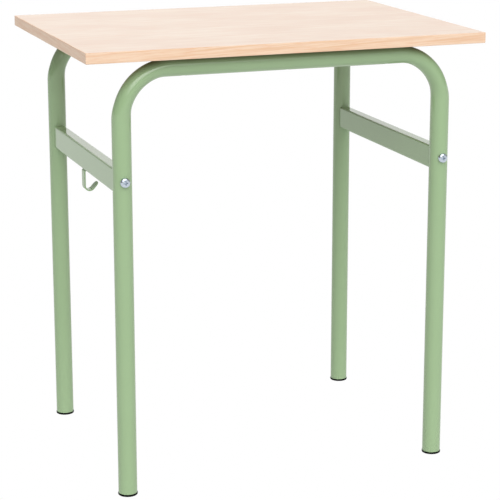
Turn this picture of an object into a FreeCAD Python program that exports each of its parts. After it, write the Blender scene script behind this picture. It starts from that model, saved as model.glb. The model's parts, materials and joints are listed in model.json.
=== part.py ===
import FreeCAD, Part
import math
import os
import re
import Sketcher

# School desk: a laminated board on two bent-tube arches that two side rails join.
# Millimetres. X runs along the board's width, Y from front to back, Z up.
# The origin is on the floor, under the middle of the board.

SIZES = {
    # the board and its skins
    "board_width": 700,
    "board_depth": 500,
    "board_thickness": 18,
    "desk_height": 760,
    "laminate_thickness": 0.8,
    "band_thickness": 2,
    "band_edge_round": 1,
    # how far the board stands out past the arches
    "side_overhang": 50,
    "front_overhang": 20,
    # the two arches of round tube
    "tube_diameter": 32,
    "tube_wall": 1.5,
    "bend_radius": 82,
    # the side rails of rectangular tube
    "rail_height": 40,
    "rail_width": 20,
    "rail_wall": 1.5,
    "rail_corner": 3,
    "rail_axis_height": 540.5,
    # the plates in the rails' ends
    "plate_thickness": 4,
    "plate_clearance": 0.1,
    # the bolts through the legs, and their nuts
    "bolt_rise": 3,
    "bolt_diameter": 8,
    "bolt_length": 45,
    "bolt_clearance": 0.2,
    "bolt_head_diameter": 16.5,
    "bolt_head_height": 5.5,
    "bolt_head_round": 3.6,
    "bolt_end_chamfer": 1,
    "recess_length": 7.5,
    "recess_width": 1.8,
    "recess_depth": 3,
    "nut_across_flats": 13,
    "nut_height": 6.5,
    "thread_clearance": 0.05,
    # the plug-in glides
    "glide_height": 3.6,
    "glide_overhang": 0.6,
    "glide_edge_round": 2,
    "plug_length": 24,
    "plug_clearance": 0.8,
    "plug_wall": 2.5,
    "rib_height": 2.5,
    "rib_gap": 4,
    "rib_count": 3,
    "rib_clearance": 0.1,
    # the screws inside the arches' top runs
    "screw_diameter": 4.5,
    "screw_length": 16,
    "screw_tip_length": 3,
    "screw_head_diameter": 9,
    "screw_head_height": 3.2,
    "screw_head_round": 1.6,
    "screw_row_length": 360,
    "screw_count": 3,
    "screw_clearance": 0.2,
    "access_diameter": 12,
    "pilot_overrun": 1,
    # the bag hook under the left rail
    "hook_width": 17.4,
    "hook_thickness": 2.5,
    "hook_inset": 0.5,
    "hook_tab_length": 16,
    "hook_tab_radius": 2.75,
    "hook_drop": 38.5,
    "hook_bend_radius": 8.6,
    "hook_reach": 24.3,
    "hook_tip_rise": 13.2,
    "hook_tip_round_share": 0.48,
}

# Sizes that follow from the ones above, written in their names.
TUBE_BORE = "(tube_diameter / 2 - tube_wall)"
BOARD_UNDERSIDE = "(desk_height - board_thickness)"
TOP_RUN_HEIGHT = "(desk_height - board_thickness - tube_diameter / 2)"
# The legs' axes stand this far from the middle, across the desk and from front to back.
HALF_SPAN = "(board_width / 2 - side_overhang - tube_diameter / 2)"
HALF_DEPTH = "(board_depth / 2 - front_overhang - tube_diameter / 2)"
RAIL_LENGTH = f"(2 * {HALF_DEPTH} - tube_diameter)"
# The bolts lie a little above the middle of the rails.
BOLT_HEIGHT = "(rail_axis_height + bolt_rise)"
BOLT_HOLE = "(bolt_diameter + 2 * bolt_clearance)"
SCREW_HOLE = "(screw_diameter + 2 * screw_clearance)"
# The flat of the screw's head meets the tube's bore along the head's rim.
SCREW_SEAT = f"({TOP_RUN_HEIGHT} + sqrt({TUBE_BORE} ^ 2 - (screw_head_diameter / 2) ^ 2))"
CORE_HEIGHT = "(board_thickness - 2 * laminate_thickness)"
CORE_WIDTH = "(board_width - 2 * band_thickness)"
CORE_DEPTH = "(board_depth - 2 * band_thickness)"

# Two lengths that differ by less than this are the same.
SAME_LENGTH = 1e-4

V = FreeCAD.Vector
doc = FreeCAD.newDocument("school_desk")
sheet = doc.addObject("Spreadsheet::Sheet", "sizes")
for row, (name, size) in enumerate(SIZES.items(), 1):
    sheet.set(f"A{row}", name)
    sheet.set(f"B{row}", str(size))
    sheet.setAlias(f"B{row}", name)
doc.recompute()


def sheet_text(text):
    """The expression with every size's name pointing at its cell."""
    return re.sub(r"[a-z_]+", lambda word: "sizes." + word[0] if word[0] in SIZES else word[0], text)


def value(text):
    """The number that an expression comes to."""
    return float(sheet.evalExpression(sheet_text(text)))


def bind(thing, prop, text):
    """Ties one property of a feature to an expression in the sizes."""
    thing.setExpression(prop, sheet_text(text))


def place(body, x="0", y="0", z="0"):
    """Ties a body's position to expressions in the sizes."""
    for axis, text in zip("xyz", (x, y, z)):
        bind(body, f"Placement.Base.{axis}", text)


def new_body(name):
    body = doc.addObject("PartDesign::Body", name)
    body.Label = name
    return body


def origin_part(body, role):
    """One of the body's own origin planes or axes."""
    return next(part for part in body.Origin.OriginFeatures if part.Role == role)


def new_sketch(body, role, x="0", y="0", lift="0"):
    """Empty sketch on an origin plane, moved in that plane and lifted along its normal."""
    sketch = body.newObject("Sketcher::SketchObject", body.Name + "_sketch")
    sketch.AttachmentSupport = [(origin_part(body, role), "")]
    sketch.MapMode = "FlatFace"
    for axis, text in zip("xyz", (x, y, lift)):
        bind(sketch, f"AttachmentOffset.Base.{axis}", text)
    return sketch


def dimension(sketch, kind, places, text):
    """Adds one driving dimension and ties it to an expression."""
    index = sketch.addConstraint(Sketcher.Constraint(kind, *places, value(text)))
    bind(sketch, f"Constraints[{index}]", text)


def pin_point(sketch, geometry, point, x, y):
    """Fixes a point of the sketch by its distances from the sketch's origin."""
    dimension(sketch, "DistanceX", (-1, 1, geometry, point), x)
    dimension(sketch, "DistanceY", (-1, 1, geometry, point), y)


def circle(sketch, diameter, x="0", y="0"):
    """Circle by its centre and diameter."""
    index = sketch.addGeometry(Part.Circle(V(value(x), value(y), 0), V(0, 0, 1), value(diameter) / 2))
    pin_point(sketch, index, 3, x, y)
    dimension(sketch, "Diameter", (index,), diameter)


def outline(sketch, points):
    """Closed outline of straight edges through points written in the sizes."""
    spots = [V(value(x), value(y), 0) for x, y in points]
    first = sketch.GeometryCount
    for start, end in zip(spots, spots[1:] + spots[:1]):
        sketch.addGeometry(Part.LineSegment(start, end))
    for step, (x, y) in enumerate(points):
        before = first + (step - 1) % len(points)
        sketch.addConstraint(Sketcher.Constraint("Coincident", before, 2, first + step, 1))
        pin_point(sketch, first + step, 1, x, y)


def rectangle(sketch, width, height, x="0", y="0"):
    """Rectangle by its middle, width and height."""
    left, right = f"{x} - ({width}) / 2", f"{x} + ({width}) / 2"
    low, high = f"{y} - ({height}) / 2", f"{y} + ({height}) / 2"
    outline(sketch, [(left, low), (right, low), (right, high), (left, high)])


def bent_path(sketch, spots, fixed, radius):
    """Straight runs through spots joined by tangent arcs, with named points of the runs fixed.

    Each run is an unbroken line between two spots, cut back at every inner spot by the arc's tangent length,
    which is the radius times the tangent of half the turn.
    """
    ways = [(b - a).normalize() for a, b in zip(spots, spots[1:])]
    radii = [value(text) for text in radius]
    halves = [a.getAngle(b) / 2 for a, b in zip(ways, ways[1:])]
    cuts = [0] + [r * math.tan(half) for r, half in zip(radii, halves)] + [0]
    for step, way in enumerate(ways):
        start, end = spots[step] + way * cuts[step], spots[step + 1] - way * cuts[step + 1]
        sketch.addGeometry(Part.LineSegment(start, end))
        if step + 1 < len(ways):
            turn_to = ways[step + 1]
            inward = (turn_to - way).normalize()
            corner = spots[step + 1]
            middle = corner + inward * (radii[step] / math.cos(halves[step]) - radii[step])
            sketch.addGeometry(Part.ArcOfCircle(end, middle, corner + turn_to * cuts[step + 1]))
    for step, text in enumerate(radius):
        run, bend, after = 2 * step, 2 * step + 1, 2 * step + 2
        begins = sketch.getPoint(bend, 1).distanceToPoint(sketch.getPoint(run, 2))
        ends = sketch.getPoint(bend, 2).distanceToPoint(sketch.getPoint(run, 2))
        head, tail = (1, 2) if begins < ends else (2, 1)
        sketch.addConstraint(Sketcher.Constraint("Tangent", run, 2, bend, head))
        sketch.addConstraint(Sketcher.Constraint("Tangent", bend, tail, after, 1))
        dimension(sketch, "Radius", (bend,), text)
    for run, point, kind, text in fixed:
        dimension(sketch, kind, (-1, 1, run, point), text)


def feature(body, kind, sketch=None):
    """New feature of a body, as its tip, with a sketch as its profile."""
    new = body.newObject("PartDesign::" + kind, body.Name + "_" + kind.lower())
    if sketch:
        new.Profile = sketch
    return new


def pad(body, sketch, length, symmetric=False):
    new = feature(body, "Pad", sketch)
    bind(new, "Length", length)
    new.SideType = "Symmetric" if symmetric else "One side"
    doc.recompute()


def pocket(body, sketch, depth, reverse=False, symmetric=False):
    """Cuts a sketch into the body, against the sketch's normal unless reversed, and proves that it cut."""
    before = body.Shape.Volume
    new = feature(body, "Pocket", sketch)
    bind(new, "Length", depth)
    new.Reversed = reverse
    new.SideType = "Symmetric" if symmetric else "One side"
    doc.recompute()
    if body.Shape.Volume >= before:
        raise RuntimeError(f"a pocket of {body.Label} cuts nothing")


def revolve(body, sketch, axis):
    new = feature(body, "Revolution", sketch)
    new.ReferenceAxis = (sketch, [axis])
    doc.recompute()


def fillet(body, radius, chosen):
    """Rounds the edges that a test on the edge picks out."""
    base = body.Tip
    names = [f"Edge{n}" for n, edge in enumerate(base.Shape.Edges, 1) if chosen(edge)]
    new = feature(body, "Fillet")
    new.Base = (base, names)
    bind(new, "Radius", radius)
    doc.recompute()


def pipe(body, profile, path):
    """Carries a profile along the whole of a path sketch."""
    new = feature(body, "AdditivePipe", profile)
    new.Spine = (path, [f"Edge{n + 1}" for n in range(path.GeometryCount)])
    doc.recompute()


def repeat(body, mirrors, row=None):
    """Repeats the whole body across its own planes, and along X first where a row is given.

    A row is its first-to-last length and its count, both as expressions.
    """
    every = feature(body, "MultiTransform")
    every.TransformMode = "Whole shape"
    steps = []
    if row:
        line = body.newObject("PartDesign::LinearPattern", body.Name + "_row")
        line.Direction = (origin_part(body, "X_Axis"), [""])
        bind(line, "Length", row[0])
        bind(line, "Occurrences", row[1])
        steps.append(line)
    for role in mirrors:
        mirror = body.newObject("PartDesign::Mirrored", body.Name + "_mirror")
        mirror.MirrorPlane = (origin_part(body, role), [""])
        steps.append(mirror)
    every.Transformations = steps
    body.Tip = every
    doc.recompute()


def near(a, b):
    return abs(a - b) < SAME_LENGTH


def is_ring(edge, radius):
    """Whether an edge is a whole circle of that radius."""
    return isinstance(edge.Curve, Part.Circle) and edge.isClosed() and near(edge.Curve.Radius, radius)


# The board: core, hard faces and edge bands.

SCREW_ROW_START = "-screw_row_length / 2"


def screw_places():
    """Middles of the screws in plan: a row along each arch's top run."""
    step = "screw_row_length / (screw_count - 1)"
    row = [f"{SCREW_ROW_START} + {n} * {step}" for n in range(int(value("screw_count")))]
    return [(x, f"{side} * {HALF_DEPTH}") for side in (-1, 1) for x in row]


def board_layer(name, width, depth, low, thickness):
    body = new_body(name)
    sketch = new_sketch(body, "XY_Plane", lift=low)
    rectangle(sketch, width, depth)
    pad(body, sketch, thickness)
    return body


def screw_cuts(body, low, depth):
    """Holes for the screws, from the board's underside up."""
    sketch = new_sketch(body, "XY_Plane", lift=low)
    for x, y in screw_places():
        circle(sketch, SCREW_HOLE, x, y)
    pocket(body, sketch, depth, reverse=True)


core_low = f"{BOARD_UNDERSIDE} + laminate_thickness"
core = board_layer("desktop_core", CORE_WIDTH, CORE_DEPTH, core_low, CORE_HEIGHT)
screw_cuts(core, core_low, f"{SCREW_SEAT} + screw_length + pilot_overrun - ({core_low})")
underside = board_layer("underside_laminate", CORE_WIDTH, CORE_DEPTH, BOARD_UNDERSIDE, "laminate_thickness")
screw_cuts(underside, BOARD_UNDERSIDE, "laminate_thickness")
board_layer("top_laminate", CORE_WIDTH, CORE_DEPTH, "desk_height - laminate_thickness", "laminate_thickness")


def edge_band(name, length, side, along_x):
    """Edge band as thick as the board, with the edges of the faces that show eased."""
    body = new_body(name)
    depth = "board_depth" if along_x else "board_width"
    middle = f"{side} * ({depth} - band_thickness) / 2"
    sketch = new_sketch(body, "XY_Plane", lift=BOARD_UNDERSIDE)
    if along_x:
        rectangle(sketch, length, "band_thickness", "0", middle)
    else:
        rectangle(sketch, "band_thickness", length, middle, "0")
    pad(body, sketch, "board_thickness")
    outer = side * value(depth) / 2
    end = value(length) / 2

    tall = value("board_thickness")

    def eased(edge):
        """The outer face's edges; a long band's ends show too, a short band's ends meet the long ones."""
        spot = edge.CenterOfMass
        across, along = (spot.y, spot.x) if along_x else (spot.x, spot.y)
        upright = near(edge.Length, tall)
        if along_x:
            return near(across, outer) or (near(abs(along), end) and not upright)
        return near(across, outer) and not upright

    fillet(body, "band_edge_round", eased)


edge_band("edge_band_front", "board_width", -1, True)
edge_band("edge_band_rear", "board_width", 1, True)
edge_band("edge_band_left", CORE_DEPTH, -1, False)
edge_band("edge_band_right", CORE_DEPTH, 1, False)


# The arches: one tube each, up a leg, over and down again.


def arch(name, side):
    body = new_body(name)
    place(body, y=f"{side} * {HALF_DEPTH}")
    left, top, low = -value(HALF_SPAN), value(TOP_RUN_HEIGHT), value("glide_height")
    path = new_sketch(body, "XZ_Plane")
    spots = [V(left, low, 0), V(left, top, 0), V(-left, top, 0), V(-left, low, 0)]
    fixed = [
        (0, 1, "DistanceX", "-" + HALF_SPAN),
        (0, 2, "DistanceX", "-" + HALF_SPAN),
        (0, 1, "DistanceY", "glide_height"),
        (2, 1, "DistanceY", TOP_RUN_HEIGHT),
        (2, 2, "DistanceY", TOP_RUN_HEIGHT),
        (4, 1, "DistanceX", HALF_SPAN),
        (4, 2, "DistanceX", HALF_SPAN),
        (4, 2, "DistanceY", "glide_height"),
    ]
    bent_path(path, spots, fixed, ["bend_radius", "bend_radius"])
    profile = new_sketch(body, "XY_Plane", x="-" + HALF_SPAN, lift="glide_height")
    circle(profile, "tube_diameter")
    circle(profile, "tube_diameter - 2 * tube_wall")
    pipe(body, profile, path)
    # a bolt hole right through each leg
    bolts = new_sketch(body, "XZ_Plane", y=BOLT_HEIGHT)
    circle(bolts, BOLT_HOLE, "-" + HALF_SPAN)
    circle(bolts, BOLT_HOLE, HALF_SPAN)
    pocket(body, bolts, "2 * tube_diameter", symmetric=True)
    # screw holes in the top wall, and wider holes below them for the driver
    screws = new_sketch(body, "XY_Plane", lift=TOP_RUN_HEIGHT)
    driver = new_sketch(body, "XY_Plane", lift=TOP_RUN_HEIGHT)
    for x, y in screw_places()[:int(value("screw_count"))]:
        circle(screws, SCREW_HOLE, x)
        circle(driver, "access_diameter", x)
    pocket(body, screws, "tube_diameter", reverse=True)
    pocket(body, driver, "tube_diameter")


arch("front_arch", -1)
arch("rear_arch", 1)


# The rails: rectangular tube with rounded corners, butted square against the legs.


def long_edges(edge):
    return near(edge.Length, value(RAIL_LENGTH))


def rail(name, side):
    body = new_body(name)
    place(body, x=f"{side} * {HALF_SPAN}", z="rail_axis_height")
    outside = new_sketch(body, "XZ_Plane")
    rectangle(outside, "rail_width", "rail_height")
    pad(body, outside, RAIL_LENGTH, symmetric=True)
    fillet(body, "rail_corner", long_edges)
    inside = new_sketch(body, "XZ_Plane")
    rectangle(inside, "rail_width - 2 * rail_wall", "rail_height - 2 * rail_wall")
    pocket(body, inside, RAIL_LENGTH, symmetric=True)
    bore = value("rail_height / 2 - rail_wall")
    fillet(body, "rail_corner - rail_wall", lambda e: long_edges(e) and near(abs(e.CenterOfMass.z), bore))


rail("left_rail", -1)
rail("right_rail", 1)


def rail_end(name, side, end):
    """Plate inside a rail's end, flush with it, with a clearance hole for the bolt."""
    body = new_body(name)
    middle = f"({RAIL_LENGTH} - plate_thickness) / 2"
    place(body, x=f"{side} * {HALF_SPAN}", y=f"{end} * {middle}", z="rail_axis_height")
    sketch = new_sketch(body, "XZ_Plane")
    inner = "2 * rail_wall + 2 * plate_clearance"
    rectangle(sketch, f"rail_width - ({inner})", f"rail_height - ({inner})")
    circle(sketch, BOLT_HOLE, y="bolt_rise")
    pad(body, sketch, "plate_thickness", symmetric=True)
    straight = lambda e: near(e.Length, value("plate_thickness")) and isinstance(e.Curve, Part.Line)
    fillet(body, "rail_corner - rail_wall", straight)


for side, across in ((-1, "left"), (1, "right")):
    for end, along in ((-1, "front"), (1, "rear")):
        rail_end(f"rail_end_{along}_{across}", side, end)


# The bolts and their nuts, drawn at the front left leg and mirrored to the other three.

BOLT_SEAT = f"-({HALF_DEPTH} + tube_diameter / 2)"
both_ways = ("YZ_Plane", "XZ_Plane")

bolts = new_body("frame_bolts")
profile = new_sketch(bolts, "YZ_Plane", y=BOLT_HEIGHT, lift="-" + HALF_SPAN)
shank = f"{BOLT_SEAT} + bolt_length"
head = f"{BOLT_SEAT} - bolt_head_height"
outline(profile, [
    (head, "0"),
    (shank, "0"),
    (shank, "bolt_diameter / 2 - bolt_end_chamfer"),
    (f"{shank} - bolt_end_chamfer", "bolt_diameter / 2"),
    (BOLT_SEAT, "bolt_diameter / 2"),
    (BOLT_SEAT, "bolt_head_diameter / 2"),
    (head, "bolt_head_diameter / 2"),
])
revolve(bolts, profile, "H_Axis")
face, rim = value(head), value("bolt_head_diameter / 2")
fillet(bolts, "bolt_head_round", lambda e: near(e.CenterOfMass.y, face) and is_ring(e, rim))
cross = new_sketch(bolts, "XZ_Plane", "-" + HALF_SPAN, BOLT_HEIGHT, f"-({head})")
far, slim = "recess_length / 2", "recess_width / 2"
outline(cross, [
    ("-" + far, "-" + slim), ("-" + slim, "-" + slim), ("-" + slim, "-" + far), (slim, "-" + far),
    (slim, "-" + slim), (far, "-" + slim), (far, slim), (slim, slim),
    (slim, far), ("-" + slim, far), ("-" + slim, slim), ("-" + far, slim),
])
pocket(bolts, cross, "recess_depth")
repeat(bolts, both_ways)

nuts = new_body("rail_weld_nuts")
behind = f"-({RAIL_LENGTH} / 2 - plate_thickness)"
flats = new_sketch(nuts, "XZ_Plane", "-" + HALF_SPAN, BOLT_HEIGHT, f"-({behind})")
corner = "nut_across_flats / sqrt(3)"
outline(flats, [
    (f"{corner} * {math.cos(math.radians(turn))}", f"{corner} * {math.sin(math.radians(turn))}")
    for turn in range(0, 360, 60)
])
circle(flats, "bolt_diameter + 2 * thread_clearance")
pad(nuts, flats, "nut_height")
nuts.Tip.Reversed = True
doc.recompute()
repeat(nuts, both_ways)


# The screws that hold the board, drawn at the front row's first place.

screws = new_body("top_screws")
profile = new_sketch(screws, "XZ_Plane", SCREW_ROW_START, SCREW_SEAT, HALF_DEPTH)
outline(profile, [
    ("0", "-screw_head_height"),
    ("screw_head_diameter / 2", "-screw_head_height"),
    ("screw_head_diameter / 2", "0"),
    ("screw_diameter / 2", "0"),
    ("screw_diameter / 2", "screw_length - screw_tip_length"),
    ("0", "screw_length"),
])
revolve(screws, profile, "V_Axis")
face, rim = value(f"{SCREW_SEAT} - screw_head_height"), value("screw_head_diameter / 2")
fillet(screws, "screw_head_round", lambda e: near(e.CenterOfMass.z, face) and is_ring(e, rim))
repeat(screws, ("XZ_Plane",), ("screw_row_length", "screw_count"))


# The glides: a collar under the tube's end and a hollow ribbed plug inside it.


def glide(name, side, end):
    body = new_body(name)
    place(body, x=f"{side} * {HALF_SPAN}", y=f"{end} * {HALF_DEPTH}")
    collar = "tube_diameter / 2 + glide_overhang"
    plug = f"{TUBE_BORE} - plug_clearance"
    inside = f"{plug} - plug_wall"
    rib = f"{TUBE_BORE} - rib_clearance"
    crown = "glide_height + plug_length"
    points = [("0", "0"), (collar, "0"), (collar, "glide_height"), (plug, "glide_height")]
    for step in range(int(value("rib_count"))):
        low = f"glide_height + rib_gap + {step} * (rib_height + rib_gap)"
        points += [(plug, low), (rib, f"{low} + rib_height / 2"), (plug, f"{low} + rib_height")]
    points += [(plug, crown), (inside, crown), (inside, "glide_height"), ("0", "glide_height")]
    sketch = new_sketch(body, "XZ_Plane")
    outline(sketch, points)
    revolve(body, sketch, "V_Axis")
    fillet(body, "glide_edge_round", lambda e: near(e.CenterOfMass.z, 0) and is_ring(e, value(collar)))


for side, across in ((-1, "left"), (1, "right")):
    for end, along in ((-1, "front"), (1, "rear")):
        glide(f"foot_{along}_{across}", side, end)


# The bag hook: a strip whose tab is welded under the left rail, bent down and then up into an open hook.

hook = new_body("bag_hook")
place(hook, x="-" + HALF_SPAN, z="rail_axis_height - rail_height / 2")
shank_x = "-rail_width / 2 + hook_inset + hook_thickness / 2"
tab_z = "-hook_thickness / 2"
tab_end = f"{shank_x} + hook_tab_length"
valley = "-hook_drop + hook_thickness / 2"
tip_x, tip_z = f"{shank_x} + hook_reach", f"{valley} + hook_tip_rise"
# The arm is the tangent from the tip to the bend; its slope sets where the shank's and the arm's lines cross.
bend = value("hook_bend_radius")
reach_x, reach_z = value("hook_reach") - bend, value("hook_tip_rise") - bend
slope = math.atan2(reach_x, -reach_z) - math.acos(bend / math.hypot(reach_x, reach_z))
arm = V(math.cos(slope), math.sin(slope), 0)
tip = V(value(tip_x), value(tip_z), 0)
run_back = value("hook_reach") / arm.x
spots = [
    V(value(tab_end), value(tab_z), 0),
    V(value(shank_x), value(tab_z), 0),
    tip - arm * run_back,
    tip,
]
path = new_sketch(hook, "XZ_Plane")
bent_path(path, spots, [
    (0, 1, "DistanceX", tab_end),
    (0, 1, "DistanceY", tab_z),
    (0, 2, "DistanceY", tab_z),
    (2, 1, "DistanceX", shank_x),
    (2, 2, "DistanceX", shank_x),
    (3, 3, "DistanceY", f"{valley} + hook_bend_radius"),
    (4, 2, "DistanceX", tip_x),
    (4, 2, "DistanceY", tip_z),
], ["hook_tab_radius", "hook_bend_radius"])
profile = new_sketch(hook, "YZ_Plane", y=tab_z, lift=tab_end)
rectangle(profile, "hook_width", "hook_thickness")
pipe(hook, profile, path)


def at_tip(edge):
    """Whether an edge is one of the two short ones across the strip's thickness at its free end."""
    spot = edge.CenterOfMass
    away = math.hypot(spot.x - tip.x, spot.z - tip.y)
    return near(edge.Length, value("hook_thickness")) and near(away, 0)


fillet(hook, "hook_width * hook_tip_round_share", at_tip)


doc.recompute()
pieces = [thing for thing in doc.Objects if thing.TypeId == "PartDesign::Body"]
for thing in doc.Objects:
    if {"Invalid", "Error"} & set(thing.State):
        raise RuntimeError(f"{thing.Label} failed: {thing.State}")
for body in pieces:
    if body.Shape.isNull() or not body.Shape.isValid():
        raise RuntimeError(f"{body.Label} is not a valid solid")

os.makedirs("parts", exist_ok=True)
for body in pieces:
    body.Shape.exportStep(f"parts/{body.Label}.step")
    box = body.Shape.optimalBoundingBox(False)
    spans = [f"{axis} {getattr(box, axis + 'Min'):.1f} to {getattr(box, axis + 'Max'):.1f}" for axis in "XYZ"]
    print(f"{body.Label}: {len(body.Shape.Solids)} solids, {body.Shape.Volume:.0f} mm3,", *spans)
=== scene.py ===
import json
import math

import bpy
import numpy as np
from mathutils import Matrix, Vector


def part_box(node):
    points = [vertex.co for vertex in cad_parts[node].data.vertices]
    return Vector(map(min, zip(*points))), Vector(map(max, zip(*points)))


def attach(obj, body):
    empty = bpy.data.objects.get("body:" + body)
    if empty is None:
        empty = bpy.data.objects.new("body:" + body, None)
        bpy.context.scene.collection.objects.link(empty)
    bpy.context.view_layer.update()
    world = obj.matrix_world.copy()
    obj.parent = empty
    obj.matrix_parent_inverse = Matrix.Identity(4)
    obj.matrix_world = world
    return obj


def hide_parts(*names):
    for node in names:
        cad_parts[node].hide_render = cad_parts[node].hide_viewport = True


# A school desk: a wood-grain board on two bent-tube arches, with side rails, bolts, glides and a bag hook.
# Metres. X runs along the board's width, Y from front to back, Z up.

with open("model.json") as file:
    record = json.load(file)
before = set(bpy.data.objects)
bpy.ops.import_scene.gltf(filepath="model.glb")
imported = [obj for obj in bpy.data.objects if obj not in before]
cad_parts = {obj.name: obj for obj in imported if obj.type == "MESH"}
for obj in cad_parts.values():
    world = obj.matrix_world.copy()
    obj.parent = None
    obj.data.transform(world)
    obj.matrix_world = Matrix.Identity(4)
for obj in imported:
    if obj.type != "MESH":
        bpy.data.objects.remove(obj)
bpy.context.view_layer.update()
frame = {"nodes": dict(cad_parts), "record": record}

MM = 0.001
FULL_TURN = 2 * math.pi
HALF_TURN = math.pi
QUARTER_TURN = math.pi / 2
EIGHTH_TURN = math.pi / 4

# Sizes of the pieces, read from the frame where a node's box gives them

ARCH_LOW, ARCH_HIGH = (np.array(corner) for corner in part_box("front_arch"))
TUBE_RADIUS = (ARCH_HIGH[1] - ARCH_LOW[1]) / 2
TUBE_WALL = 1.5 * MM
TUBE_END_ROUND = 0.5 * MM
BEND_RADIUS = 82 * MM
LEG_X = ARCH_HIGH[0] - TUBE_RADIUS
ARCH_Y = -(ARCH_LOW[1] + TUBE_RADIUS)
LEG_FOOT = ARCH_LOW[2]
TOP_RUN_Z = ARCH_HIGH[2] - TUBE_RADIUS
# A tube flattens where it is bent: thinner in the plane of the bend and a little wider across it.
BEND_THIN_SHARE = 0.1
BEND_WIDE_SHARE = 0.06
# The share of a bend's turn over which the flattening comes in at either end.
BEND_EASE_SHARE = 0.22

RAIL_LOW, RAIL_HIGH = (np.array(corner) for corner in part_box("left_rail"))
RAIL_MIDDLE = (RAIL_LOW + RAIL_HIGH) / 2
RAIL_WALL = 1.5 * MM
RAIL_CORNER = 3 * MM
RAIL_LEAST_CORNER = 0.5 * MM
RAIL_END_ROUND = 0.4 * MM

BOLT_HIGH = np.array(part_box("frame_bolts")[1])
BOLT_HEAD_RADIUS = BOLT_HIGH[0] - LEG_X
BOLT_Z = BOLT_HIGH[2] - BOLT_HEAD_RADIUS
BOLT_HEAD_HEIGHT = BOLT_HIGH[1] - ARCH_Y - TUBE_RADIUS
BOLT_HEAD_ROUND = 3.6 * MM
BOLT_LIP = 0.15 * MM
BOLT_RADIUS = 4 * MM
BOLT_LENGTH = 45 * MM
BOLT_END_CHAMFER = 1 * MM
BOLT_HOLE_RADIUS = 4.2 * MM
RECESS_LENGTH = 7.5 * MM
RECESS_WIDTH = 1.8 * MM
RECESS_DEPTH = 3 * MM
# The recess narrows to this share of its size at its floor.
RECESS_FLOOR_SHARE = 0.6
# How far the first bolt's cross is turned out of level, and how much more each next one is, in radians.
FIRST_TIGHTENED, NEXT_TIGHTENED = 0.05, 0.1

SCREW_HEAD_RADIUS = 4.5 * MM
SCREW_X = (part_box("top_screws")[1][0] - SCREW_HEAD_RADIUS) * np.array([-1, 0, 1])
SCREW_HOLE_RADIUS = 2.45 * MM
ACCESS_RADIUS = 6 * MM

GLIDE_LOW, GLIDE_HIGH = (np.array(corner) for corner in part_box("foot_front_right"))
GLIDE_RADIUS = GLIDE_HIGH[0] - LEG_X
GLIDE_EDGE_ROUND = 1.2 * MM
GLIDE_TOP_ROUND = 0.3 * MM
PLUG_CLEARANCE = 0.8 * MM
PLUG_RADIUS = TUBE_RADIUS - TUBE_WALL - PLUG_CLEARANCE
PLUG_WALL = 2.5 * MM
RIB_CLEARANCE = 0.1 * MM
RIB_RADIUS = TUBE_RADIUS - TUBE_WALL - RIB_CLEARANCE
RIB_HEIGHT = 2.5 * MM
RIB_GAP = 4 * MM
RIB_COUNT = 3

HOOK_LOW, HOOK_HIGH = (np.array(corner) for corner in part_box("bag_hook"))
HOOK_THICKNESS = 2.5 * MM
HOOK_EDGE_ROUND = 0.7 * MM
HOOK_TAB_LENGTH = 16 * MM
HOOK_TAB_RADIUS = 2.75 * MM
HOOK_BEND_RADIUS = 8.6 * MM
HOOK_REACH = 24.3 * MM
HOOK_TIP_RISE = 13.2 * MM
# The radius of the tip's round corners, as a share of the strip's width.
HOOK_TIP_ROUND_SHARE = 0.48

# How finely curves are cut into points

SIDES = 64
TUBE_END_STEPS = 5
BEND_STEPS = 33
RAIL_END_STEPS = 4
RAIL_CORNER_STEPS = 7
BOLT_HEAD_STEPS = 9
GLIDE_EDGE_STEPS = 9
GLIDE_TOP_STEPS = 4
HOOK_BEND_STEPS = 13
HOOK_TIP_STEPS = 13
HOOK_EDGE_STEPS = 5


# Colours and shader nodes

# A Mix node's colour sockets share their names with its other kinds, so they go by number.
MIX_A, MIX_B, MIX_RESULT = 6, 7, 2


def linear(code):
    """An sRGB hex colour as linear red, green, blue and full alpha."""
    parts = [int(code[i:i + 2], 16) / 255 for i in (1, 3, 5)]
    return [c / 12.92 if c <= 0.04045 else ((c + 0.055) / 1.055) ** 2.4 for c in parts] + [1]


def add(tree, kind, inputs, **settings):
    """Adds one shader node and gives its outputs; an input takes a value or another node's output."""
    new = tree.nodes.new("ShaderNode" + kind)
    for name, value in settings.items():
        setattr(new, name, value)
    for name, value in inputs.items():
        if isinstance(value, bpy.types.NodeSocket):
            tree.links.new(value, new.inputs[name])
        else:
            new.inputs[name].default_value = value
    return new.outputs


def blend(tree, share, first, second):
    """A colour between two by a share; each of the two is a hex colour or another node's output."""
    first, second = (linear(colour) if isinstance(colour, str) else colour for colour in (first, second))
    return add(tree, "Mix", {"Factor": share, MIX_A: first, MIX_B: second}, data_type="RGBA")[MIX_RESULT]


def noise(tree, place, size, detail):
    """Soft noise with patches of about a given size."""
    return add(tree, "TexNoise", {"Vector": place, "Scale": 1 / size, "Detail": detail})["Fac"]


def stretched_noise(tree, place, sizes, detail):
    """Soft noise with patches of about a given size along each axis."""
    scale = [1 / size for size in sizes]
    stretch = add(tree, "Mapping", {"Vector": place, "Scale": scale})["Vector"]
    return noise(tree, stretch, 1, detail)


def new_finish(name):
    """An empty material and its node tree, with Object coordinates in metres."""
    finish = bpy.data.materials.new(name)
    finish.use_nodes = True
    finish.node_tree.nodes.clear()
    return finish, finish.node_tree, add(finish.node_tree, "TexCoord", {})["Object"]


def close_finish(tree, inputs):
    """Ends a material with its surface shader."""
    shader = add(tree, "BsdfPrincipled", inputs)["BSDF"]
    add(tree, "OutputMaterial", {"Surface": shader})


# Finishes


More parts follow.
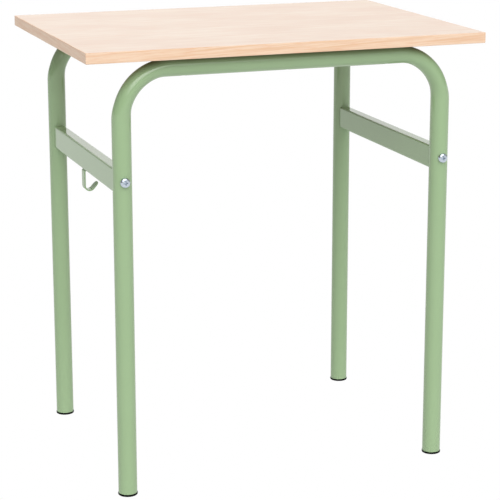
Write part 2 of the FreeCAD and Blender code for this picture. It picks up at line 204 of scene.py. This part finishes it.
def powder_coat():
    """Polyester powder coat on steel tube, sprayed and baked: an even sage green, glossy.

    The eye gets clear highlights along the tubes, with a trace of orange peel and almost no change of tone.
    """
    finish, tree, spot = new_finish("powder coat, sage green, gloss")
    peel_size, drift_size = 9 * MM, 120 * MM
    tone = blend(tree, noise(tree, spot, drift_size, 2), "#869F77", "#8BA47C")
    peel = noise(tree, spot, peel_size, 1)
    gloss = add(tree, "MapRange", {"Value": peel, "To Min": 0.07, "To Max": 0.09})["Result"]
    bump = add(tree, "Bump", {"Strength": 0.05, "Distance": 0.05 * MM, "Height": peel})["Normal"]
    close_finish(tree, {"Base Color": tone, "Roughness": gloss, "IOR": 1.55, "Normal": bump})
    return finish


def pale_laminate():
    """High-pressure laminate pressed with a pale beech print, satin.

    The eye gets broad rosy clouds on cream, with short soft streaks along the board and fine fibres in them.
    """
    finish, tree, spot = new_finish("laminate, pale beech print, satin")
    cloud_long, cloud_wide = 150 * MM, 60 * MM
    streak_long, streak_wide = 95 * MM, 11 * MM
    fibre_long, fibre_wide = 34 * MM, 2.4 * MM
    clouds = stretched_noise(tree, spot, (cloud_long, cloud_wide, cloud_wide), 3)
    streaks = stretched_noise(tree, spot, (streak_long, streak_wide, streak_wide), 3)
    fibres = stretched_noise(tree, spot, (fibre_long, fibre_wide, fibre_wide), 3)
    broad = add(tree, "MapRange", {"Value": clouds, "From Min": 0.35, "From Max": 0.65})["Result"]
    tone = blend(tree, broad, "#D4C4B4", "#CFB8A7")
    streaky = {"Value": streaks, "From Min": 0.4, "From Max": 0.75, "To Max": 0.7}
    tone = blend(tree, add(tree, "MapRange", streaky)["Result"], tone, "#C9B19E")
    fibrous = {"Value": fibres, "From Min": 0.5, "From Max": 0.75, "To Max": 0.5}
    tone = blend(tree, add(tree, "MapRange", fibrous)["Result"], tone, "#D0A98E")
    gloss = add(tree, "MapRange", {"Value": fibres, "To Min": 0.38, "To Max": 0.46})["Result"]
    bump = add(tree, "Bump", {"Strength": 0.1, "Distance": 0.03 * MM, "Height": fibres})["Normal"]
    close_finish(tree, {"Base Color": tone, "Roughness": gloss, "IOR": 1.5, "Normal": bump})
    return finish


def brown_backing():
    """Thin backing sheet that keeps the board flat, brown and dull.

    The eye gets a slight mottle, and a warm tint that the sheet throws on the tubes right below it.
    """
    finish, tree, spot = new_finish("backing sheet, brown, dull")
    mottle_size = 6 * MM
    tone = blend(tree, noise(tree, spot, mottle_size, 3), "#825620", "#724A1A")
    close_finish(tree, {"Base Color": tone, "Roughness": 0.7})
    return finish


def beech_band():
    """Plastic edge band printed with beech grain, satin.

    The eye gets a warmer tone than on the top, with lines that rise slowly along the band. The bands run
    along X or along Y, never both, so the sum of X and Y is the place along any of them. The lines are noise
    over that place, drawn out long, and over the height less a small share of that place.
    """
    finish, tree, spot = new_finish("edge band, beech print, satin")
    rise_share = 0.035
    axes = add(tree, "SeparateXYZ", {"Vector": spot})
    along = add(tree, "Math", {0: axes["X"], 1: axes["Y"]}, operation="ADD")["Value"]
    level = add(tree, "Math", {0: along, 1: -rise_share, 2: axes["Z"]}, operation="MULTIPLY_ADD")["Value"]
    flat = add(tree, "CombineXYZ", {"X": along, "Y": level})["Vector"]
    line_long, line_wide = 120 * MM, 3.2 * MM
    pore_long, pore_wide = 26 * MM, 1.6 * MM
    lines = stretched_noise(tree, flat, (line_long, line_wide, 1), 2)
    pores = stretched_noise(tree, flat, (pore_long, pore_wide, 1), 2)
    rings = add(tree, "MapRange", {"Value": lines, "From Min": 0.42, "From Max": 0.66})["Result"]
    tone = blend(tree, rings, "#D6BBA2", "#CDA98A")
    porous = {"Value": pores, "From Min": 0.5, "From Max": 0.75, "To Max": 0.5}
    tone = blend(tree, add(tree, "MapRange", porous)["Result"], tone, "#CB9570")
    gloss = add(tree, "MapRange", {"Value": pores, "To Min": 0.36, "To Max": 0.46})["Result"]
    bump = add(tree, "Bump", {"Strength": 0.1, "Distance": 0.03 * MM, "Height": pores})["Normal"]
    close_finish(tree, {"Base Color": tone, "Roughness": gloss, "IOR": 1.5, "Normal": bump})
    return finish


def raw_chipboard():
    """Raw pressed chipboard: flat wood flakes of several tones, dull. It shows only in the screw holes."""
    finish, tree, spot = new_finish("chipboard, raw")
    flake_size = 3 * MM
    flakes = add(tree, "TexVoronoi", {"Vector": spot, "Scale": 1 / flake_size})
    one_per_flake = add(tree, "SeparateXYZ", {"Vector": flakes["Color"]})["X"]
    tone = blend(tree, one_per_flake, "#C8A57A", "#9C7A50")
    bump = add(tree, "Bump", {"Strength": 0.4, "Distance": 0.2 * MM, "Height": flakes["Distance"]})["Normal"]
    close_finish(tree, {"Base Color": tone, "Roughness": 0.85, "Normal": bump})
    return finish


def bright_zinc():
    """Bright zinc plate on steel: a cool pale metal with a clear but slightly blurred reflection."""
    finish, tree, spot = new_finish("zinc plate, bright")
    stain_size = 3 * MM
    stain = noise(tree, spot, stain_size, 3)
    tone = blend(tree, stain, "#CDD6E0", "#BAC4CF")
    gloss = add(tree, "MapRange", {"Value": stain, "To Min": 0.14, "To Max": 0.26})["Result"]
    close_finish(tree, {"Base Color": tone, "Metallic": 1, "Roughness": gloss})
    return finish


def black_plastic():
    """Black polypropylene, moulded with a fine spark texture: deep black and dull, with next to no sheen."""
    finish, tree, spot = new_finish("polypropylene, black, moulded")
    spark_size = 0.8 * MM
    spark = noise(tree, spot, spark_size, 2)
    tone = blend(tree, spark, "#060606", "#0B0C0C")
    gloss = add(tree, "MapRange", {"Value": spark, "To Min": 0.6, "To Max": 0.75})["Result"]
    bump = add(tree, "Bump", {"Strength": 0.2, "Distance": 0.05 * MM, "Height": spark})["Normal"]
    close_finish(tree, {"Base Color": tone, "Roughness": gloss, "Specular IOR Level": 0.05, "Normal": bump})
    return finish


# The finish of each material slot, and of the one node whose finish differs from its slot's.
FINISHES = {
    "laminate": pale_laminate(),
    "edge_band": beech_band(),
    "chipboard": raw_chipboard(),
    "frame_paint": powder_coat(),
    "zinc": bright_zinc(),
    "glide_plastic": black_plastic(),
    "underside_laminate": brown_backing(),
}


# Mesh helpers

SHARP_ANGLE = math.radians(35)
# A flat side of a ring has one more point this share of its half length away from each of its corners.
FLAT_POINT_SHARE = 0.04
# A ring's corner takes at most this share of its shorter half side.
CORNER_LIMIT_SHARE = 0.98


def piece(name, points, faces, slot, *nodes):
    """One mesh of the desk in the place of its CAD nodes, smooth except over edges that turn sharply."""
    mesh = bpy.data.meshes.new(name)
    mesh.from_pydata(points.reshape(-1, 3).tolist(), [], faces)
    mesh.polygons.foreach_set("use_smooth", np.ones(len(faces), bool))
    mesh.set_sharp_from_angle(angle=SHARP_ANGLE)
    mesh.materials.append(FINISHES[slot])
    made = bpy.data.objects.new(name, mesh)
    bpy.context.scene.collection.objects.link(made)
    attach(made, "root")
    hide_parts(*nodes)


def ring_faces(rows, sides, first=0, wrap=False):
    """Quads between neighbouring rings of a grid of points; wrap joins the last ring to the first."""
    spots = first + np.arange(rows * sides).reshape(rows, sides)
    after = np.roll(spots, -1, axis=0)
    quads = np.stack([spots, after, np.roll(after, -1, axis=1), np.roll(spots, -1, axis=1)], axis=-1)
    return (quads if wrap else quads[:-1]).reshape(-1, 4).tolist()


def capped_faces(rows, sides, first=0):
    """Quads between the rings of a grid, and one flat face on its first ring and one on its last."""
    start = list(range(first, first + sides))
    end = list(range(first + (rows - 1) * sides, first + rows * sides))
    return ring_faces(rows, sides, first) + [start, end[::-1]]


def arc(centre, radius, start, end, steps):
    """Points on a circle's arc, from one angle to another, both ends included."""
    turn = np.linspace(start, end, steps)
    return np.array(centre) + radius * np.stack([np.cos(turn), np.sin(turn)], axis=-1)


def rounded_ring(half_width, half_height, corner, steps):
    """Points round a rectangle with round corners: a quarter circle about each corner's middle, one by one.

    One more point lies on the flat just before each quarter and one just after it, so that flats are shaded
    flat. The half sizes may be arrays, for a stack of rings.
    """
    half_width, half_height = np.broadcast_arrays(half_width, half_height)
    quarter = np.concatenate([[0], np.linspace(0, QUARTER_TURN, steps), [QUARTER_TURN]])
    turn = (np.arange(4)[:, None] * QUARTER_TURN + quarter).ravel()
    onto_flat = np.tile(FLAT_POINT_SHARE * np.array([-1] + steps * [0] + [1]), 4)
    side_x = np.repeat([1, -1, -1, 1], steps + 2) - onto_flat * np.sin(turn)
    side_y = np.repeat([1, 1, -1, -1], steps + 2) + onto_flat * np.cos(turn)
    corner = np.minimum(corner, np.minimum(half_width, half_height) * CORNER_LIMIT_SHARE)[..., None]
    x = (half_width[..., None] - corner) * side_x + corner * np.cos(turn)
    y = (half_height[..., None] - corner) * side_y + corner * np.sin(turn)
    return np.stack([x, y], axis=-1)


# The arches

COLUMN_TURN = FULL_TURN / SIDES
CELL = TUBE_RADIUS * COLUMN_TURN
LEG_RUN = TOP_RUN_Z - BEND_RADIUS - LEG_FOOT
BEND_RUN = BEND_RADIUS * QUARTER_TURN
TOP_RUN = 2 * (LEG_X - BEND_RADIUS)
ARCH_RUN = 2 * LEG_RUN + 2 * BEND_RUN + TOP_RUN
# Round a hole a square of cells is cut from the tube's grid, this many cells to each side of the middle.
BOLT_HOLE_CELLS, SCREW_HOLE_CELLS, ACCESS_CELLS = 4, 3, 6
# Rings of points from a hole's rim to the edge of its square.
HOLE_RINGS = 3


def ease(share):
    """Goes from 0 to 1 with a level start and end."""
    share = np.clip(share, 0, 1)
    return share * share * (3 - 2 * share)


def bend_weight(turned):
    """How far the tube is flattened after a share of a bend: nothing at its ends, fully over its middle."""
    return ease(turned / BEND_EASE_SHARE) * ease((1 - turned) / BEND_EASE_SHARE)


def arch_points(spots, y):
    """Points of a bent tube from their place along its centreline, turn round it and depth under its skin.

    The centreline goes up a leg, through a quarter circle, along the top, through another quarter and down. A
    point lies off it by cos(turn) times the half thickness, away from the bends' middles, and by sin(turn)
    times the half width along Y. In a bend the half thickness is a little less than the tube's radius and the
    half width a little more.
    """
    along, turn, depth = np.moveaxis(spots, -1, 0)
    first = np.clip((along - LEG_RUN) / BEND_RUN, 0, 1)
    second = np.clip((along - LEG_RUN - BEND_RUN - TOP_RUN) / BEND_RUN, 0, 1)
    up = np.clip(along, 0, LEG_RUN)
    across = np.clip(along - LEG_RUN - BEND_RUN, 0, TOP_RUN)
    down = np.clip(along - (ARCH_RUN - LEG_RUN), 0, LEG_RUN)
    bent_up, bent_down = first * QUARTER_TURN, second * QUARTER_TURN
    x = -LEG_X + BEND_RADIUS * (1 - np.cos(bent_up)) + across + BEND_RADIUS * np.sin(bent_down)
    z = LEG_FOOT + up + BEND_RADIUS * (np.sin(bent_up) - 1 + np.cos(bent_down)) - down
    heading = bent_up + bent_down
    flat = bend_weight(first) + bend_weight(second)
    thick = TUBE_RADIUS * (1 - BEND_THIN_SHARE * flat) - depth
    wide = TUBE_RADIUS * (1 + BEND_WIDE_SHARE * flat) - depth
    out = thick * np.cos(turn)
    return np.stack([x - out * np.cos(heading), y + wide * np.sin(turn), z + out * np.sin(heading)], axis=-1)


def arch_rows(holes):
    """Places along the centreline for the rings: close at the ends, holes and bends, far apart elsewhere.

    One ring just past the rounding of each end keeps the long sides evenly shaded.
    """
    turn = np.linspace(0, QUARTER_TURN, TUBE_END_STEPS)
    past_round = 2 * TUBE_END_ROUND
    tip = np.append(TUBE_END_ROUND * (1 - np.cos(turn)), past_round)
    bend = LEG_RUN + BEND_RUN * np.linspace(0, 1, BEND_STEPS)
    near_holes = [place + CELL * np.arange(-cells, cells + 1) for place, turn, radius, cells in holes]
    rows = np.concatenate([tip, ARCH_RUN - tip, bend, ARCH_RUN - bend, *near_holes])
    same_decimals = 7
    return np.unique(np.round(rows, same_decimals))


def square_rim(cells):
    """Row and column steps round the edge of a square of cells, anticlockwise from a corner."""
    side = np.arange(-cells, cells)
    flat = np.full(2 * cells, cells)
    return np.concatenate([side, flat, -side, -flat]), np.concatenate([-flat, side, flat, -side])


def arch_skin(holes):
    """A tube's skin as places along, turns and depths, with its quads and the rims of its holes.

    The skin is a grid of rings. Round each hole a square of cells is left out, and rings of quads run from
    the drilled circle to the square's edge, each a mix of the two.
    """
    rows = arch_rows(holes)
    end = np.minimum(np.minimum(rows, ARCH_RUN - rows), TUBE_END_ROUND)
    inset = TUBE_END_ROUND - np.sqrt(TUBE_END_ROUND ** 2 - (TUBE_END_ROUND - end) ** 2)
    turns = COLUMN_TURN * np.arange(SIDES)
    spots = [np.stack(np.broadcast_arrays(rows[:, None], turns, inset[:, None]), axis=-1).reshape(-1, 3)]
    grid = np.arange(len(rows) * SIDES).reshape(len(rows), SIDES)
    kept = np.ones((len(rows) - 1, SIDES), bool)
    quads, rims = [], []
    count = grid.size
    for place, turn, radius, cells in holes:
        row = np.argmin(np.abs(rows - place))
        column = round(turn / COLUMN_TURN)
        step_along, step_round = square_rim(cells)
        kept[row - cells:row + cells, np.arange(column - cells, column + cells) % SIDES] = False
        angle = np.arctan2(step_round, step_along)
        drilled_turn = turn + np.arcsin(radius * np.sin(angle) / TUBE_RADIUS)
        drilled = np.stack([place + radius * np.cos(angle), drilled_turn, 0 * angle], axis=-1)
        square = np.stack([place + CELL * step_along, turn + COLUMN_TURN * step_round, 0 * angle], axis=-1)
        share = np.linspace(0, 1, HOLE_RINGS, endpoint=False)[:, None, None]
        spots.append(((1 - share) * drilled + share * square).reshape(-1, 3))
        rings = count + np.arange(HOLE_RINGS * len(angle)).reshape(HOLE_RINGS, -1)
        rings = np.vstack([rings, grid[row + step_along, (column + step_round) % SIDES]])
        ahead = np.roll(rings, -1, axis=1)
        quads.append(np.stack([rings[:-1], rings[1:], ahead[1:], ahead[:-1]], axis=-1).reshape(-1, 4))
        rims.append(rings[0])
        count += HOLE_RINGS * len(angle)
    ahead = np.roll(grid, -1, axis=1)
    cells = np.stack([grid[:-1], grid[1:], ahead[1:], ahead[:-1]], axis=-1)
    quads.append(cells[kept])
    rims += [grid[0], grid[-1][::-1]]
    return np.concatenate(spots), np.concatenate(quads), rims


def arch(node, y):
    """One arch: an outer and an inner skin, joined by a wall round each hole and at each end."""
    bolt_at = BOLT_Z - LEG_FOOT
    holes = []
    for at in (bolt_at, ARCH_RUN - bolt_at):
        for side in (1, 3):
            holes.append((at, side * QUARTER_TURN, BOLT_HOLE_RADIUS, BOLT_HOLE_CELLS))
    for x in SCREW_X:
        at = ARCH_RUN / 2 + x
        holes.append((at, 0, SCREW_HOLE_RADIUS, SCREW_HOLE_CELLS))
        holes.append((at, HALF_TURN, ACCESS_RADIUS, ACCESS_CELLS))
    spots, quads, rims = arch_skin(holes)
    used, quads_used = np.unique(quads, return_inverse=True)
    quads = quads_used.reshape(quads.shape)
    rims = [np.searchsorted(used, rim) for rim in rims]
    outer = spots[used]
    inner = outer + [0, 0, TUBE_WALL]
    inner[:, 2] = np.minimum(inner[:, 2], TUBE_WALL)
    walls = [np.stack([r, np.roll(r, -1), np.roll(r, -1) + len(used), r + len(used)], axis=-1) for r in rims]
    faces = np.concatenate([quads, quads[:, ::-1] + len(used), *walls])
    points = arch_points(np.concatenate([outer, inner]), y)
    piece(node + "_tube", points, faces.tolist(), "frame_paint", node)


arch("front_arch", -ARCH_Y)
arch("rear_arch", ARCH_Y)


# The rails


def rail(node, x):
    """One rail: a rounded rectangle carried along Y, outside from front to back and inside back again.

    The rings shrink by a quarter circle at each end, for the eased cut. One more ring just past it keeps the
    sides flat.
    """
    front, back = RAIL_LOW[1], RAIL_HIGH[1]
    turn = np.linspace(0, QUARTER_TURN, RAIL_END_STEPS)
    past_round = 3 * RAIL_END_ROUND
    eased_place = np.append(RAIL_END_ROUND * (1 - np.sin(turn))[::-1], past_round)
    eased_depth = np.append(RAIL_END_ROUND * (1 - np.cos(turn))[::-1], 0)
    place = np.concatenate([front + eased_place, back - eased_place[::-1], [back, front]])
    depth = np.concatenate([eased_depth, eased_depth[::-1], [RAIL_WALL, RAIL_WALL]])
    half = (RAIL_HIGH - RAIL_LOW) / 2
    corner = np.maximum(RAIL_CORNER - depth, RAIL_LEAST_CORNER)
    ring = rounded_ring(half[0] - depth, half[2] - depth, corner, RAIL_CORNER_STEPS)
    axes = np.broadcast_arrays(x + ring[..., 0], place[:, None], RAIL_MIDDLE[2] + ring[..., 1])
    faces = ring_faces(*ring.shape[:2], wrap=True)
    piece(node + "_tube", np.stack(axes, axis=-1), faces, "frame_paint", node)


rail("left_rail", RAIL_MIDDLE[0])
rail("right_rail", -RAIL_MIDDLE[0])


# The bolts


def recess_radius(turn, length, width):
    """Distance from the middle of a cross to its edge: the longer of its two bars in that direction."""
    tiny = 1e-9
    c, s = np.abs(np.cos(turn)) + tiny, np.abs(np.sin(turn)) + tiny
    level = np.minimum(length / 2 / c, width / 2 / s)
    upright = np.minimum(length / 2 / s, width / 2 / c)
    return np.maximum(level, upright)


def bolt_points():
    """A pan-head bolt as rings about its axis: radius and height over its seat, a cross sunk in its face.

    The first rings follow the cross, the next ones go from the cross to a circle, and the rest are circles.
    """
    bar_end_steps, bar_side_steps = 4, 8
    cross_to_circle = (0.35, 0.7, 1)
    corner = math.atan2(RECESS_WIDTH, RECESS_LENGTH)
    bar_end = np.linspace(0, corner, bar_end_steps)
    bar_side = np.linspace(corner, EIGHTH_TURN, bar_side_steps)
    octant = np.concatenate([bar_end, bar_side[1:]])
    quarter = np.concatenate([octant, (QUARTER_TURN - octant[::-1])[1:-1]])
    turn = (np.arange(4)[:, None] * QUARTER_TURN + quarter).ravel()
    cross = recess_radius(turn, RECESS_LENGTH, RECESS_WIDTH)
    face_radius = BOLT_HEAD_RADIUS - BOLT_HEAD_ROUND
    head, lip = BOLT_HEAD_HEIGHT, BOLT_LIP
    radii = [cross * RECESS_FLOOR_SHARE, cross, cross + lip]
    heights = [head - RECESS_DEPTH, head - lip, head]
    for share in cross_to_circle:
        radii.append((1 - share) * (cross + lip) + share * face_radius)
        heights.append(head)
    rim_middle = (face_radius, head - BOLT_HEAD_ROUND)
    rim = arc(rim_middle, BOLT_HEAD_ROUND, QUARTER_TURN, 0, BOLT_HEAD_STEPS)[1:]
    shank = [
        (BOLT_HEAD_RADIUS, lip),
        (BOLT_HEAD_RADIUS - lip, 0),
        (BOLT_RADIUS, 0),
        (BOLT_RADIUS, BOLT_END_CHAMFER - BOLT_LENGTH),
        (BOLT_RADIUS - BOLT_END_CHAMFER, -BOLT_LENGTH),
    ]
    for radius, height in [*rim, *shank]:
        radii.append(radius + 0 * turn)
        heights.append(height)
    radii, heights = np.array(radii), np.array(heights)[:, None]
    return np.stack(np.broadcast_arrays(radii * np.cos(turn), heights, radii * np.sin(turn)), axis=-1)


def bolts():
    """The four bolts, heads on the outer faces of the legs, each tightened to a slightly different turn."""
    rings = bolt_points()
    rows, sides = rings.shape[:2]
    seat = ARCH_Y + TUBE_RADIUS
    points, faces = [], []
    for number, (x, side) in enumerate([(-LEG_X, -1), (LEG_X, -1), (-LEG_X, 1), (LEG_X, 1)]):
        turn = FIRST_TIGHTENED + NEXT_TIGHTENED * number
        local_x = rings[..., 0] * math.cos(turn) - rings[..., 2] * math.sin(turn)
        local_z = rings[..., 0] * math.sin(turn) + rings[..., 2] * math.cos(turn)
        place = np.stack([x + local_x, side * (seat + rings[..., 1]), BOLT_Z + local_z], axis=-1)
        quads = capped_faces(rows, sides, number * rows * sides)
        points.append(place.reshape(-1, 3))
        faces += quads if side < 0 else [face[::-1] for face in quads]
    piece("leg_bolts", np.concatenate(points), faces, "zinc", "frame_bolts")


bolts()


# The glides


def glide(node, x, y):
    """One glide turned about its upright axis: collar, ribbed plug and the hollow inside it."""
    floor, seat, crown = GLIDE_LOW[2], LEG_FOOT, GLIDE_HIGH[2]
    edge_middle = (GLIDE_RADIUS - GLIDE_EDGE_ROUND, floor + GLIDE_EDGE_ROUND)
    top_middle = (GLIDE_RADIUS - GLIDE_TOP_ROUND, seat - GLIDE_TOP_ROUND)
    profile = [
        *arc(edge_middle, GLIDE_EDGE_ROUND, -QUARTER_TURN, 0, GLIDE_EDGE_STEPS),
        *arc(top_middle, GLIDE_TOP_ROUND, 0, QUARTER_TURN, GLIDE_TOP_STEPS),
        (PLUG_RADIUS, seat),
    ]
    for step in range(RIB_COUNT):
        low = seat + RIB_GAP + step * (RIB_HEIGHT + RIB_GAP)
        profile += [(PLUG_RADIUS, low), (RIB_RADIUS, low + RIB_HEIGHT / 2), (PLUG_RADIUS, low + RIB_HEIGHT)]
    profile += [(PLUG_RADIUS, crown), (PLUG_RADIUS - PLUG_WALL, crown), (PLUG_RADIUS - PLUG_WALL, seat)]
    radius, height = np.array(profile).T[..., None]
    turn = COLUMN_TURN * np.arange(SIDES)
    axes = np.broadcast_arrays(x + radius * np.cos(turn), y + radius * np.sin(turn), height)
    faces = [face[::-1] for face in capped_faces(len(profile), SIDES)]
    piece(node + "_glide", np.stack(axes, axis=-1), faces, "glide_plastic", node)


for across, side in (("left", -1), ("right", 1)):
    for along, end in (("front", -1), ("rear", 1)):
        glide(f"foot_{along}_{across}", side * LEG_X, end * ARCH_Y)


# The bag hook


def bent_line(corners, radii, steps):
    """A line through corners in a plane, with an arc of a given radius in place of each inner corner."""
    corners = np.array(corners)
    line = [corners[:1]]
    for before, corner, after, radius in zip(corners, corners[1:], corners[2:], radii):
        come = (corner - before) / np.linalg.norm(corner - before)
        go = (after - corner) / np.linalg.norm(after - corner)
        turn = math.acos(np.dot(come, go))
        side = np.sign(come[0] * go[1] - come[1] * go[0])
        start = corner - come * radius * math.tan(turn / 2)
        centre = start + side * radius * np.array([-come[1], come[0]])
        first = math.atan2(*(start - centre)[::-1])
        line.append(arc(centre, radius, first, first + side * turn, steps))
    return np.concatenate([*line, corners[-1:]])


def hook():
    """A strip carried along its bent line, with a rounded tip.

    Near the tip the half width shrinks along a quarter circle; the strip's long edges are eased all the way.
    """
    half_thick, half_wide = HOOK_THICKNESS / 2, (HOOK_HIGH[1] - HOOK_LOW[1]) / 2
    shank_x, tab_z, valley = HOOK_LOW[0] + half_thick, HOOK_HIGH[2] - half_thick, HOOK_LOW[2] + half_thick
    # The arm leaves the bend along the line from the tip that just touches the bend's circle.
    reach_x, reach_z = HOOK_REACH - HOOK_BEND_RADIUS, HOOK_TIP_RISE - HOOK_BEND_RADIUS
    slope = math.atan2(reach_x, -reach_z) - math.acos(HOOK_BEND_RADIUS / math.hypot(reach_x, reach_z))
    arm = np.array([math.cos(slope), math.sin(slope)])
    tip = np.array([shank_x + HOOK_REACH, valley + HOOK_TIP_RISE])
    foot = tip - arm * HOOK_REACH / arm[0]
    corners = [(shank_x + HOOK_TAB_LENGTH, tab_z), (shank_x, tab_z), foot, tip]
    bent = bent_line(corners, [HOOK_TAB_RADIUS, HOOK_BEND_RADIUS], HOOK_BEND_STEPS)[:-1]
    tip_round = 2 * half_wide * HOOK_TIP_ROUND_SHARE
    turn = np.linspace(0, QUARTER_TURN, HOOK_TIP_STEPS)[1:]
    line = np.concatenate([bent, tip - arm * tip_round * (1 - np.sin(turn))[:, None]])
    wide = np.concatenate([np.full(len(bent), half_wide), half_wide - tip_round * (1 - np.cos(turn))])
    ahead = np.gradient(line, axis=0)
    ahead /= np.linalg.norm(ahead, axis=1)[:, None]
    ring = rounded_ring(wide, half_thick, HOOK_EDGE_ROUND, HOOK_EDGE_STEPS)
    x = line[:, :1] - ring[..., 1] * ahead[:, 1:]
    z = line[:, 1:] + ring[..., 1] * ahead[:, :1]
    points = np.stack([x, ring[..., 0], z], axis=-1)
    faces = [face[::-1] for face in capped_faces(*ring.shape[:2])]
    piece("bag_hook_strip", points, faces, "frame_paint", "bag_hook")


hook()


# The board and the hidden pieces keep their CAD shapes and take their finishes

for part in frame["record"]["subparts"]:
    node = frame["nodes"][part["node"]]
    if not node.hide_render:
        node.data.materials.clear()
        node.data.materials.append(FINISHES.get(part["node"], FINISHES[part["material_slot"]]))


# Light and camera

WHITE = (1, 1, 1, 1)
# Soft lights far off round the desk: turn from straight in front towards the right, height over the floor,
# the half widths where a light starts and ends its fall, all in degrees, and its brightness.
LIGHTS = [
    (-8, 42, 4, 40, 3.9),
    (-50, 45, 8, 36, 0.5),
    (30, 22, 8, 36, 0.4),
    (160, 14, 8, 40, 1.0),
    (180, 42, 8, 36, 0.6),
    (0, 80, 8, 36, 1.1),
]
# Brightness of the pale walls all round, and of the floor.
WALLS, FLOOR = 0.3, 1.0


def white_floor(brightness):
    """A wide plain white floor that glows evenly, like a light table, so the desk throws no shadow on it.

    It is clear from below, so that the underside of the desk can be looked at.
    """
    half = 150
    corners = [(-half, -half, 0), (half, -half, 0), (half, half, 0), (-half, half, 0)]
    mesh = bpy.data.meshes.new("white_floor")
    mesh.from_pydata(corners, [], [(0, 1, 2, 3)])
    finish, tree = new_finish("floor, white, lit")[:2]
    glow = add(tree, "Emission", {"Color": WHITE, "Strength": brightness})["Emission"]
    clear = add(tree, "BsdfTransparent", {})["BSDF"]
    below = add(tree, "NewGeometry", {})["Backfacing"]
    sided = add(tree, "MixShader", {0: below, 1: glow, 2: clear})["Shader"]
    add(tree, "OutputMaterial", {"Surface": sided})
    mesh.materials.append(finish)
    floor = bpy.data.objects.new("white_floor", mesh)
    bpy.context.scene.collection.objects.link(floor)


def studio(lights, walls):
    """Pale walls as even light from all round, and on them a few large soft lights.

    A light is full up to its inner half width and falls to nothing at its outer one.
    """
    world = bpy.data.worlds.new("studio")
    world.use_nodes = True
    tree = world.node_tree
    tree.nodes.clear()
    toward = add(tree, "TexCoord", {})["Generated"]
    total = walls
    for *angles, brightness in lights:
        turn, rise, inner, outer = (math.radians(angle) for angle in angles)
        aim = (math.cos(rise) * math.sin(turn), -math.cos(rise) * math.cos(turn), math.sin(rise))
        facing = add(tree, "VectorMath", {0: toward, 1: aim}, operation="DOT_PRODUCT")["Value"]
        fall = {"From Min": math.cos(outer), "From Max": math.cos(inner), "To Min": 0, "To Max": brightness}
        glow = add(tree, "MapRange", {"Value": facing, **fall}, interpolation_type="SMOOTHSTEP")["Result"]
        total = add(tree, "Math", {0: total, 1: glow}, operation="ADD")["Value"]
    light = add(tree, "Background", {"Color": WHITE, "Strength": total})["Background"]
    add(tree, "OutputWorld", {"Surface": light})
    bpy.context.scene.world = world
    bpy.context.scene.view_settings.view_transform = "Standard"


def camera():
    """The photograph's view: a long lens in front, to the left and higher than the desk, looking a bit down.

    The lens and its middle are given in the pixels of the photograph.
    """
    picture_size = 500
    focal_length = 1767
    middle_x, middle_y = 255, 220
    azimuth, pitch = math.radians(20.27), math.radians(13.83)
    place = (-1.0521, -2.9158, 1.1674)
    data = bpy.data.cameras.new("camera")
    data.sensor_width = 36
    data.lens = data.sensor_width * focal_length / picture_size
    data.shift_x = (picture_size / 2 - middle_x) / picture_size
    data.shift_y = (middle_y - picture_size / 2) / picture_size
    eye = bpy.data.objects.new("camera", data)
    eye.location = place
    eye.rotation_euler = (QUARTER_TURN - pitch, 0, -azimuth)
    bpy.context.scene.collection.objects.link(eye)
    bpy.context.scene.camera = eye


white_floor(FLOOR)
studio(LIGHTS, WALLS)
camera()
